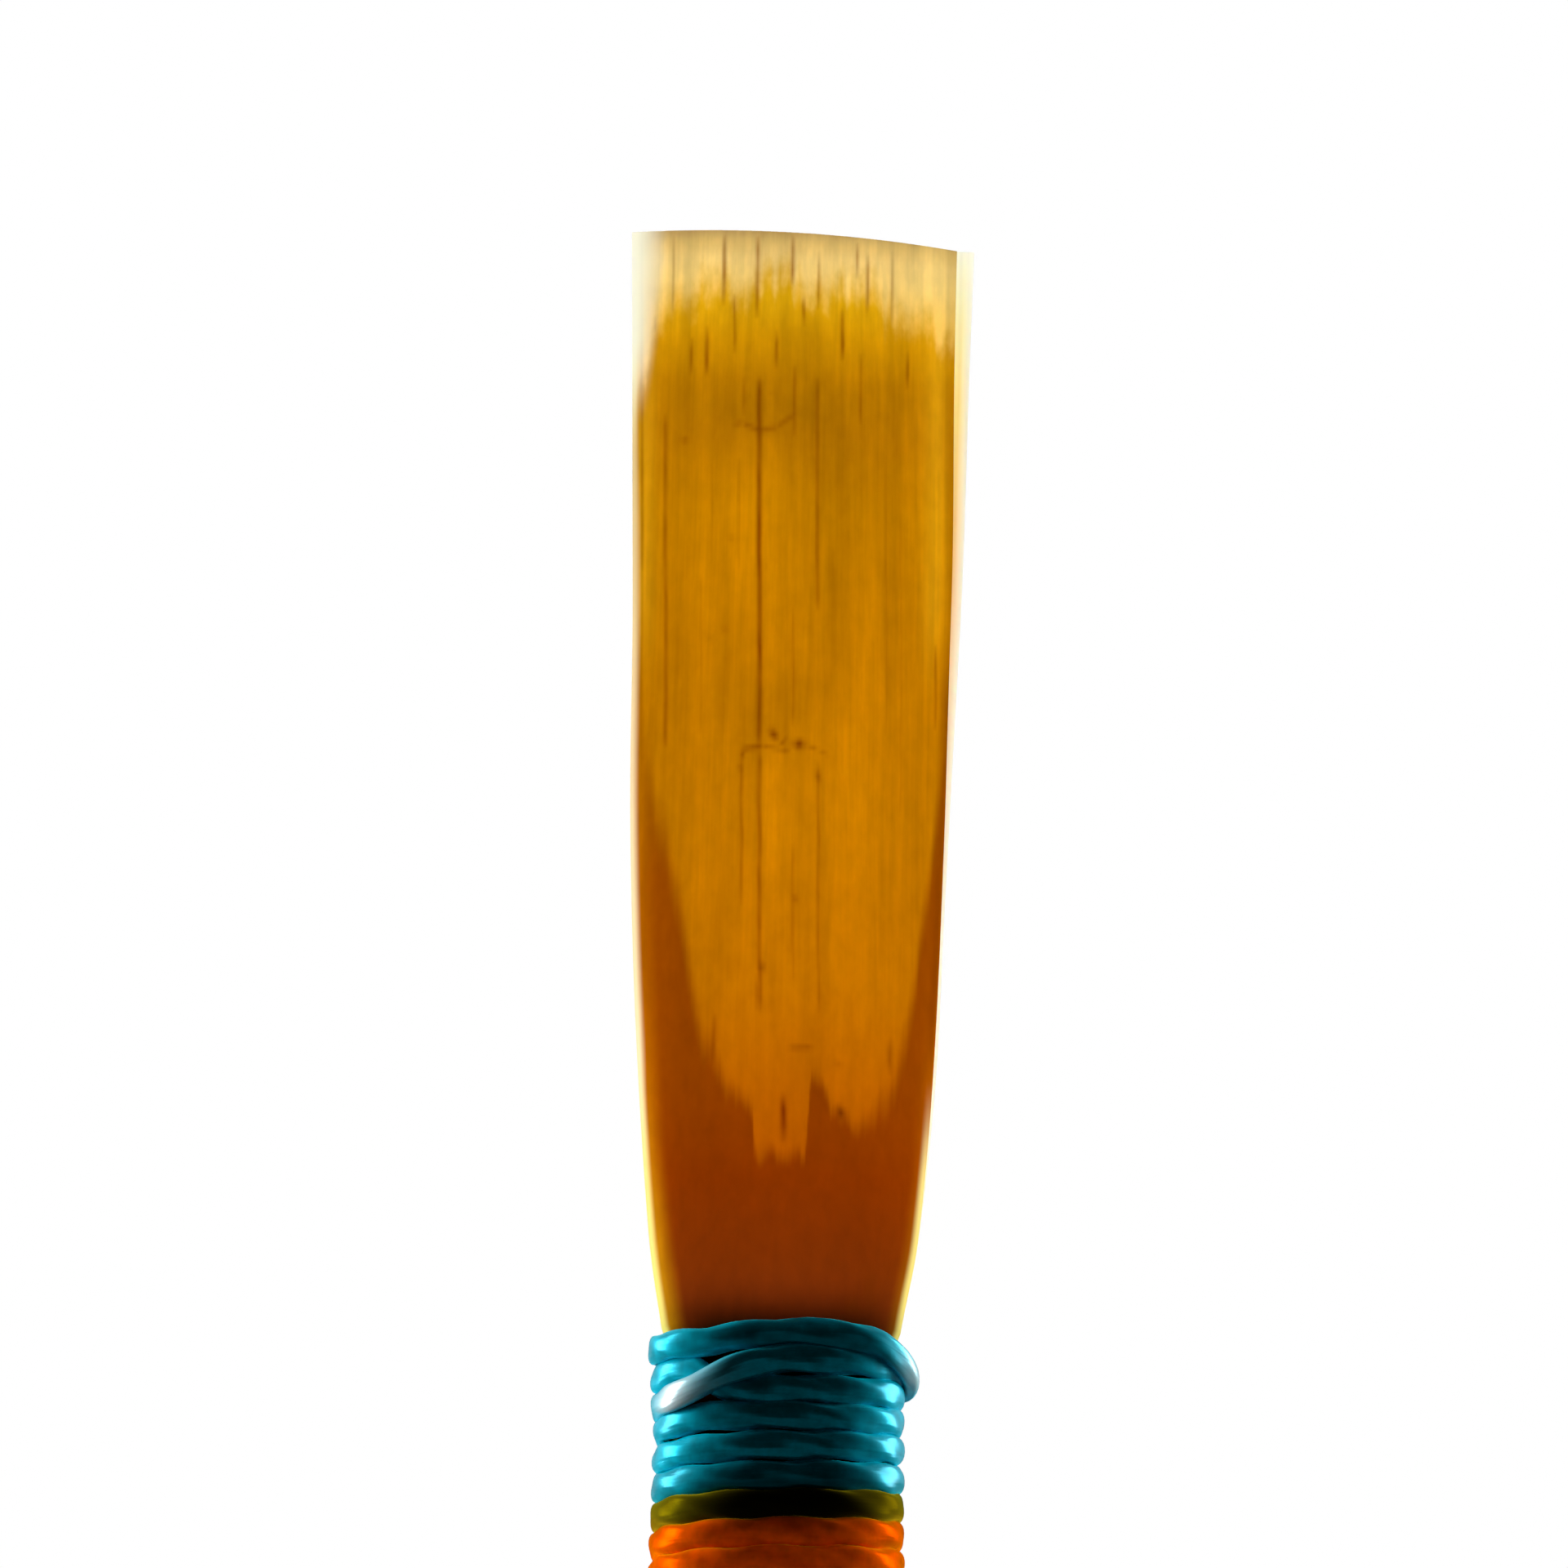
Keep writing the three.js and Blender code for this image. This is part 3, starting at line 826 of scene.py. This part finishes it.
def tone_and_shade_of(x, z):
    """How much lighter or darker the soft areas and the painted shade under the winding leave each point.
    """
    tone_and_shade = np.zeros_like(x)
    for middle_x, middle_y, half_x, half_y, amount in TONES_PX:
        patch_x, patch_z = on_blade(middle_x, middle_y)
        apart = ((x - patch_x) / (half_x * PX)) ** 2 + ((z - patch_z) / (half_y * PX)) ** 2
        tone_and_shade += amount * np.exp(-apart)
    # Painted shade: the cane is darker just under the winding
    return tone_and_shade - TIED_SHADE_STRENGTH * fades(z, THREAD_TOP_Z - TIED_SHADE_DEPTH, THREAD_TOP_Z)


def mark_blade(piece, across, z, side, half_width, lean):
    """Writes where the bark, the pale tip, the fibres and the marks are, as attributes of the outside.
    Returns where the bark is."""
    # The rear blade has its marks as they look from behind
    x = (across * half_width + lean + slip(z, side)) * -side
    seed = 10 * (side + 2)
    from_left = (across + 1) * half_width
    from_right = (1 - across) * half_width
    if side == REAR:
        from_left, from_right = from_right, from_left

    # Painted rim light: the thin edges are painted cream
    rim_left_to = between(*RIM_LEFT_TO, grows(z, *RIM_WIDENS_Z) * fades(z, *RIM_NARROWS_Z))
    rim_left = fades(from_left, RIM_LEFT_FROM, rim_left_to)
    rim_right = fades(z, *RIM_RIGHT_ENDS_Z) * fades(from_right, *RIM_RIGHT)

    # Painted glow near the edges, where light comes through: the bark gives way to amber, with gold
    # beside it
    amber_left = fades(from_left, *AMBER_LEFT)
    amber_right = AMBER_WEAK * fades(from_right, *AMBER_RIGHT)
    amber = between(1, AMBER_WEAK, grows(z, *AMBER_LEFT_WEAKENS_Z)) * amber_left
    amber = np.maximum(amber, fades(z, *AMBER_RIGHT_ENDS_Z) * amber_right)
    # The bark is partly taken away by the painted glow near the edges
    bark = bark_left(x, z, seed) * (1 - AMBER_OVER_BARK * amber)

    # Painted glow: the thinnest corner near the tip is painted near white, as lit through
    thin_width = between(*THIN_WIDTHS, share(z, *THIN_WIDENS_Z))
    thin = fades(from_left, 0, thin_width) * grows(z, *THIN_STARTS_Z)

    # Painted shade along the right edge, where the gap to the rear blade lies
    edge_shade_height = grows(z, *EDGE_SHADE_STARTS_Z) * (1 - EDGE_SHADE_WEAKENS_BY * grows(z, *EDGE_SHADE_WEAKENS_Z))
    painted_edge_shade = EDGE_SHADE_STRENGTH * edge_shade_height * fades(from_right, *EDGE_SHADE_WIDTH)
    edge_line = EDGE_LINE_STRENGTH * grows(z, *EDGE_LINE_STARTS_Z) * hump(from_left, *EDGE_LINE_HUMP)
    stain_and_shade = strokes_shown(x, z) if side == FRONT else np.zeros_like(x)
    stain_and_shade = np.maximum(stain_and_shade, np.maximum(painted_edge_shade, edge_line))

    near_left = fades(from_left, *GOLD_LEFT)
    near_right = GOLD_RIGHT_STRENGTH * hump(from_right, *GOLD_RIGHT_HUMP)
    painted_gold_glow = GOLD_STRENGTH * grows(z, *GOLD_STARTS_Z) * np.maximum(near_left, near_right)
    painted_gold_glow = np.maximum(painted_gold_glow, LOW_GOLD_STRENGTH * fades(z, *LOW_GOLD_ENDS_Z) * amber_left)

    pale = np.clip(above_line(x, z, PALE_END_PX, PALE_RAGGED, seed) / PALE_SOFTNESS, -1, 1)
    marks = {
        "bark": bark,
        "pale": pale,
        "painted_rim_light": np.maximum(rim_left, rim_right),
        "thin": thin,
        "tone_and_shade": tone_and_shade_of(x, z),
        "painted_gold_glow": painted_gold_glow,
        "fibre": fibres_shown(x, z, side, seed),
        "stain_and_shade": stain_and_shade,
    }
    for name, values in marks.items():
        write_attribute(piece, name, values)
    return bark


def sheet_heights(upward):
    """Heights of the rows: a few on the staple, and most on the bare cane."""
    tied = between(CANE_BUTT_Z, THREAD_TOP_Z, upward / TIED_ROWS_SHARE)
    bare = between(THREAD_TOP_Z, TIP_Z, (upward - TIED_ROWS_SHARE) / (1 - TIED_ROWS_SHARE))
    return np.where(upward < TIED_ROWS_SHARE, tied, bare)


def sheet_across(sideways):
    """Places across a blade, from -1 to 1, closer together where the cane curves down to its edges."""
    return between(2 * sideways - 1, -np.cos(math.pi * sideways), 0.5)


def left_flat(z):
    """How much less than at the right is added at the left edge, low on the front blade."""
    return LEFT_FLAT * hump(z, *FLAT_HUMP_Z)


def fuller(z, side):
    """What the photograph's outline adds to each half of a blade."""
    low_share = grows(z, *FULLER_STARTS_Z)
    if side == FRONT:
        return low_share * (FRONT_FULLER * fades(z, *FRONT_FULLER_ENDS_Z) - left_flat(z))
    low = REAR_FULLER * low_share * fades(z, *REAR_FULLER_ENDS_Z)
    return low + REAR_BULGE * hump(z, *BULGE_HUMP_Z)


def leaning(z, side):
    """How far the front blade's middle is moved to the right, which adds to its right edge alone."""
    if side == REAR:
        return 0 * z
    return FRONT_BULGE * hump(z, *BULGE_HUMP_Z) + grows(z, *FULLER_STARTS_Z) * left_flat(z) / 2


def blade_sheet(columns, rows, side):
    """A flat sheet for one face of a blade, and where on the blade each of its points goes."""
    sheet = add_sheet(columns, rows)
    flat = read_points(sheet) + 0.5
    z = sheet_heights(flat[:, 1])
    lean = leaning(z, side)
    half_width = cane_half_width(z) + fuller(z, side) + lean
    return sheet, sheet_across(flat[:, 0]), z, lean, half_width


def bend_sheet(sheet, across, z, side, lean, half_width, depth):
    points = blade_surface(across, z, side, half_width, depth)
    points[:, 0] += lean
    write_points(sheet, points)


def make_blade(name, node, side, cane, inside_cane):
    """The outside and the inside as two sheets, joined round the edges by the cut walls."""
    columns, rows = BLADE_COLUMNS // INSIDE_STEP, BLADE_ROWS // INSIDE_STEP
    inside, across, z, lean, half_width = blade_sheet(columns, rows, side)
    bend_sheet(inside, across, z, side, lean, half_width - cane_edge(z), cane_hollow(z))
    write_attribute(inside, "outer", 0 * z)

    outside, across, z, lean, half_width = blade_sheet(BLADE_COLUMNS, BLADE_ROWS, side)
    bark = mark_blade(outside, across, z, side, half_width, lean)
    write_attribute(outside, "outer", 0 * z + 1)
    from_edge = grows(1 - np.abs(across), 0, BARK_STEP_FROM_EDGE)
    relief = BARK_STEP * bark * from_edge * share(z, THREAD_TOP_Z, THREAD_TOP_Z + BARK_STEP_RISE)
    bend_sheet(outside, across, z, side, lean, half_width, cane_hollow(z) + cane_thickness(z) + relief)

    outside_faces = len(outside.data.polygons)
    inside.select_set(True)
    bpy.ops.object.join()
    edit("DESELECT")
    bpy.ops.mesh.select_mode(type="EDGE")
    bpy.ops.mesh.select_non_manifold()
    bpy.ops.mesh.bridge_edge_loops()
    stop_editing()
    blade = finish_piece(outside, name, [node], [cane, inside_cane])
    is_inside = np.arange(len(blade.data.polygons)) >= outside_faces
    blade.data.polygons.foreach_set("material_index", is_inside.astype(np.int32))


# Winding. A route is a list of turns from the lower end, the row at that turn and how far the thread
# is lifted there. Row 0 is the olive one, a turn's quarter is at the left, its half at the front.

TEAL_ROUTE = [
    (14.9, 0.4, 0), (16.25, 1.75, 0), (16.46, 2.04, 0), (16.7, 2.24, 0), (17, 2.52, 0), (17.25, 2.8, 0),
    (17.35, 3.0, 0), (17.4, 3.1, 0), (17.46, 3.12, 0), (17.6, 3.12, 0), (18, 3.5, 0), (18.2, 3.64, 0.05),
    (18.29, 3.68, 0.12), (18.335, 3.8, 0.24), (18.39, 4.22, 0.34), (18.43, 4.7, 0.32), (18.46, 5.0, 0.22),
    (18.5, 5.13, 0.08), (18.6, 5.18, 0), (18.68, 5.12, 0), (18.75, 5.0, 0), (18.85, 5.1, 0), (19, 5.5, 0),
    (19.22, 5.68, 0.16), (19.3, 5.68, 0.16), (19.39, 5.74, 0.06), (19.46, 5.98, 0.02),
    (19.52, 6.08, 0.02), (19.58, 6.06, 0.06), (19.63, 5.88, 0.16), (19.68, 5.45, 0.28),
    (19.73, 4.98, 0.36), (19.78, 4.72, 0.38), (19.85, 4.62, 0.3), (20, 4.6, 0.18), (20.12, 4.6, 0.08),
    (20.25, 4.6, 0.12), (20.3, 4.72, 0.04), (20.33, 4.86, 0), (20.365, 4.8, 0), (20.39, 4.45, 0),
    (20.41, 4.15, 0), (20.44, 4.04, 0), (20.49, 4.04, 0), (20.56, 4.08, 0), (20.75, 4.2, 0),
    (20.95, 4.3, 0),
]
REGULAR_ROUTE = [(-1, -15.5, 0), (16, 1.5, 0)]
# A route is sampled a little past its ends, and its corners are rounded over this share of a turn
ROUTE_SAMPLES = 6000
ROUTE_MARGIN = 0.4
ROUTE_ROUNDING = 0.05998
# The lower end of the orange and the upper end of the teal are loose
LOOSE_TURNS = 1, 20

# Painted shade on the fronts of turns: the turn, how far to each side and how dark
OLIVE_FRONT_SHADE = 14.52, 0.17, 0.93
FIRST_TEAL_SHADE = 15.5, 0.15, 0.8
TOP_TEAL_SHADE = 19.53, 0.12, 0.45
# On the first teal row the painted shade is on the lower side, next to the olive, and fades towards the
# top
FIRST_TEAL_SHADE_SIDE = -0.7, 0.5
# All round, that row has a little painted shade: where that starts, where it ends, how dark
DIM_ROW_STARTS = 14.9, 15.1
DIM_ROW_ENDS = 16.1, 15.9
DIM_ROW_SHADE = 0.3
# The crossing turn has a pale painted highlight where it leaves the row and where it bends back over the
# edge
HIGHLIGHT_AT_ROW = 18.34, 0.075
HIGHLIGHT_AT_EDGE = 19.73, 0.06
HIGHLIGHT_STRENGTH = 0.95


def follow_route(route, first_turn, last_turn, turns):
    """The row and the lift at each turn, with the route's corners rounded."""
    samples = np.linspace(first_turn - ROUTE_MARGIN, last_turn + ROUTE_MARGIN, ROUTE_SAMPLES)
    window = int(ROUTE_ROUNDING * ROUTE_SAMPLES / (last_turn - first_turn + ROUTE_MARGIN))
    kernel = np.hanning(window + 2)[1:-1]
    kernel = kernel / kernel.sum()
    route_turns, *route_values = zip(*route)
    found = []
    for values in route_values:
        rounded = np.convolve(np.interp(samples, route_turns, values), kernel, "same")
        found.append(np.interp(turns, samples, rounded))
    return found


def painted_front_shade(turns, middle, reach, strength):
    return strength * hump(turns, middle, reach, 4)


def painted_thread_shading(turns, around):
    """How much colour the painted shade leaves. Where the olive meets the teal, the front is painted
    dark.
    """
    first_row = painted_front_shade(turns, *FIRST_TEAL_SHADE) * share(-np.cos(around), *FIRST_TEAL_SHADE_SIDE)
    dim_row = DIM_ROW_SHADE * share(turns, *DIM_ROW_STARTS) * share(turns, *DIM_ROW_ENDS)
    first_row = np.maximum(first_row, dim_row)
    return 1 - first_row - painted_front_shade(turns, *OLIVE_FRONT_SHADE) - painted_front_shade(turns, *TOP_TEAL_SHADE)


def make_thread(name, node, material, first_turn, last_turn, route):
    """A three-ply thread, flattened against the cane, along its route."""
    girth = float(TURN * (winding_core(np.array(GIRTH_Z))[0] + THREAD_THICKNESS))
    thread = add_sheet(THREAD_SIDES, int((last_turn - first_turn) * girth / THREAD_STEP))
    flat = read_points(thread) + 0.5
    around = TURN * flat[:, 0]
    turns = between(first_turn, last_turn, flat[:, 1])
    row, lift = follow_route(route, first_turn, last_turn, turns)
    z = OLIVE_FRONT_Z + THREAD_PITCH * row
    angle = TURN * (0.25 + turns)
    core_width, core_depth = winding_core(z)
    outward = np.stack([np.cos(angle) / core_width, np.sin(angle) / core_depth, 0 * z], axis=1)
    outward /= np.linalg.norm(outward, axis=1, keepdims=True)
    on_core = np.stack([core_width * np.cos(angle), core_depth * np.sin(angle), z], axis=1)
    twist = TURN * (turns * girth) / PLY_LAY
    swell = np.cos(PLIES * around - twist)
    # A loose end is rounded; where two lengths meet, their ends are flat
    from_end = np.minimum(turns - first_turn, last_turn - turns) * girth
    loose = (turns < LOOSE_TURNS[0]) | (turns > LOOSE_TURNS[1])
    rounded = np.sqrt(np.clip(1 - (1 - share(from_end, 0, LOOSE_END_ROUNDING)) ** 2, 0, 1))
    reach = (1 + PLY_SWELL * swell) * np.where(loose, between(LOOSE_END_SIZE, 1, rounded), 1)
    # Pressed against its neighbours, the thread is a little square
    upwards, outwards = [
        np.sign(value) * np.abs(value) ** THREAD_SQUARENESS for value in (np.cos(around), np.sin(around))
    ]
    away = THREAD_GAP + THREAD_THICKNESS / 2 + lift + THREAD_THICKNESS / 2 * outwards * reach
    points = on_core + outward * away[:, None]
    points[:, 2] += THREAD_WIDTH / 2 * upwards * reach
    write_points(thread, points)
    # Painted shade in the grooves between the plies
    write_attribute(thread, "painted_groove_shade", share(-swell, 0, 1))
    # Painted shade: the fronts of some turns are painted dark
    write_attribute(thread, "painted_shading", painted_thread_shading(turns, around))
    # Painted highlight on the crossing turn
    painted_highlight = hump(turns, *HIGHLIGHT_AT_ROW) + hump(turns, *HIGHLIGHT_AT_EDGE)
    write_attribute(thread, "painted_highlight", HIGHLIGHT_STRENGTH * painted_highlight)
    edit("SELECT")
    bpy.ops.mesh.remove_doubles(threshold=WELD_DISTANCE)
    bpy.ops.mesh.select_all(action="DESELECT")
    bpy.ops.mesh.select_non_manifold()
    bpy.ops.mesh.fill_holes(sides=0)
    stop_editing()
    finish_piece(thread, name, [node], [material])


make_staple()
cane = scraped_cane()
inside_cane = gouged_cane()
make_blade("front_blade", "blade_front", FRONT, cane, inside_cane)
make_blade("rear_blade", "blade_rear", REAR, cane, inside_cane)
orange = dyed_nylon("orange_nylon", "#ff5600", "#d02800", "#ffac00", silk=0.14, shine=0)
make_thread("orange_thread", "thread_orange", orange, 0, ORANGE_END_TURN, REGULAR_ROUTE)
olive = dyed_nylon("olive_nylon", "#5c540a", "#1a1900", "#f0d820", silk=0.14, shine=0)
make_thread("olive_thread", "thread_olive", olive, ORANGE_END_TURN, OLIVE_END_TURN, REGULAR_ROUTE)
teal = dyed_nylon("teal_nylon", "#00c8e4", "#006c80", "#00e8ff", silk=0.16, shine=0.05)
make_thread("teal_thread", "thread_teal", teal, OLIVE_END_TURN, TEAL_END_TURN, TEAL_ROUTE)


# Studio

LAMP_AIM_Z = 34
LAMP_SPREAD = math.radians(180)
BEAM_SPREAD = math.radians(2)
FLOOR_METRES = 3


def add_lamp(name, azimuth, elevation, distance, width, height, level, beam=False, aim_z=LAMP_AIM_Z):
    """A soft lamp. Azimuth 0 is the camera's side and 90 the right; level 1 lights a face as its colour.
    A beam keeps the lamp's own size, doesn't weaken with distance and leaves no gloss."""
    turn, tilt = math.radians(azimuth), math.radians(elevation)
    outward = Vector((math.sin(turn) * math.cos(tilt), -math.cos(turn) * math.cos(tilt), math.sin(tilt)))
    data = bpy.data.lights.new(name, "AREA")
    data.shape = "RECTANGLE"
    data.size = width * MM
    data.size_y = height * MM
    data.spread = BEAM_SPREAD if beam else LAMP_SPREAD
    beam_power = math.pi * width * height * MM**2
    open_power = (math.pi * distance * MM) ** 2
    data.energy = level * (beam_power if beam else open_power)
    lamp = bpy.data.objects.new(name, data)
    bpy.context.scene.collection.objects.link(lamp)
    lamp.location = (Vector((0, 0, aim_z)) + outward * distance) * MM
    lamp.rotation_euler = outward.to_track_quat("Z", "Y").to_euler()
    lamp.visible_camera = False
    lamp.visible_glossy = not beam


def make_world():
    """White wherever the camera, gloss or glass looks; the side behind the camera is dim."""
    world = bpy.data.worlds.new("white_studio")
    world.use_nodes = True
    bpy.context.scene.world = world
    tree = world.node_tree
    tree.nodes.clear()
    path = add_node(tree, "LightPath").outputs
    direction = add_node(tree, "TexCoord").outputs["Generated"]
    backward = add_node(tree, "SeparateXYZ", {0: direction}).outputs["Y"]
    limits = {"Value": backward, "From Min": -0.35, "From Max": 0.5, "To Min": 0.02, "To Max": 1}
    dimmed = add_node(tree, "MapRange", limits, interpolation_type="SMOOTHSTEP").outputs[0]
    lit = add_node(tree, "Math", {0: path["Is Glossy Ray"], 1: 0.25}, operation="MAXIMUM").outputs[0]
    around = add_node(tree, "Math", {0: lit, 1: dimmed}, operation="MULTIPLY").outputs[0]
    rays = {0: path["Is Camera Ray"], 1: path["Is Transmission Ray"]}
    seen = add_node(tree, "Math", rays, operation="MAXIMUM").outputs[0]
    strength = add_node(tree, "Math", {0: seen, 1: around}, operation="MAXIMUM").outputs[0]
    background = add_node(tree, "Background", {"Color": "#ffffff", "Strength": strength})
    add_node(tree, "OutputWorld", {"Surface": background.outputs[0]})


def pale_floor():
    """Pale paper to the eye and in reflections, but too dim to light the reed from below."""
    material, tree = new_material("pale_floor")
    path = add_node(tree, "LightPath").outputs
    rays = {0: path["Is Glossy Ray"], 1: path["Is Transmission Ray"]}
    mirrored = add_node(tree, "Math", rays, operation="MAXIMUM").outputs[0]
    dimmed = add_node(tree, "Math", {0: mirrored, 1: 0.3}, operation="MULTIPLY").outputs[0]
    seen = add_node(tree, "Math", {0: path["Is Camera Ray"], 1: dimmed}, operation="MAXIMUM").outputs[0]
    inputs = {FACTOR: seen, COLOUR_A: "#303030", COLOUR_B: "#c8c8c8"}
    paper = add_node(tree, "Mix", inputs, data_type="RGBA").outputs[MIXED]
    # Round the reed the lamps add the rest of the white, and their shadows show
    place = add_node(tree, "TexCoord").outputs["Object"]
    away = add_node(tree, "VectorMath", {0: place}, operation="LENGTH").outputs["Value"]
    limits = {"Value": away, "From Min": 0.02, "From Max": 0.25, "To Min": 0.56, "To Max": 1}
    glow = add_node(tree, "MapRange", limits, interpolation_type="SMOOTHSTEP").outputs[0]
    glow = add_node(tree, "Math", {0: seen, 1: glow}, operation="MULTIPLY").outputs[0]
    inputs = {
        "Base Color": paper,
        "Roughness": 0.9,
        "Specular IOR Level": 0,
        "Emission Color": "#ffffff",
        "Emission Strength": glow,
    }
    shader = add_node(tree, "BsdfPrincipled", inputs)
    add_node(tree, "OutputMaterial", {"Surface": shader.outputs[0]})
    return material


def make_floor():
    bpy.ops.mesh.primitive_plane_add(size=FLOOR_METRES)
    floor = bpy.context.object
    floor.name = "floor"
    floor.data.materials.append(pale_floor())


bpy.context.scene.view_settings.view_transform = "Standard"
make_world()
make_floor()
add_lamp("left_lamp", azimuth=-117, elevation=8, distance=260, width=100, height=160, level=1.45)
add_lamp("right_lamp", azimuth=119, elevation=8, distance=260, width=100, height=160, level=1.15)
# Two beams light the blades and the winding from the front
add_lamp("front_glow", 0, 0, distance=50, width=11, height=30, level=1, beam=True, aim_z=43.1)
add_lamp("low_front_glow", 0, 0, distance=50, width=9, height=21, level=0.155, beam=True, aim_z=12.3)
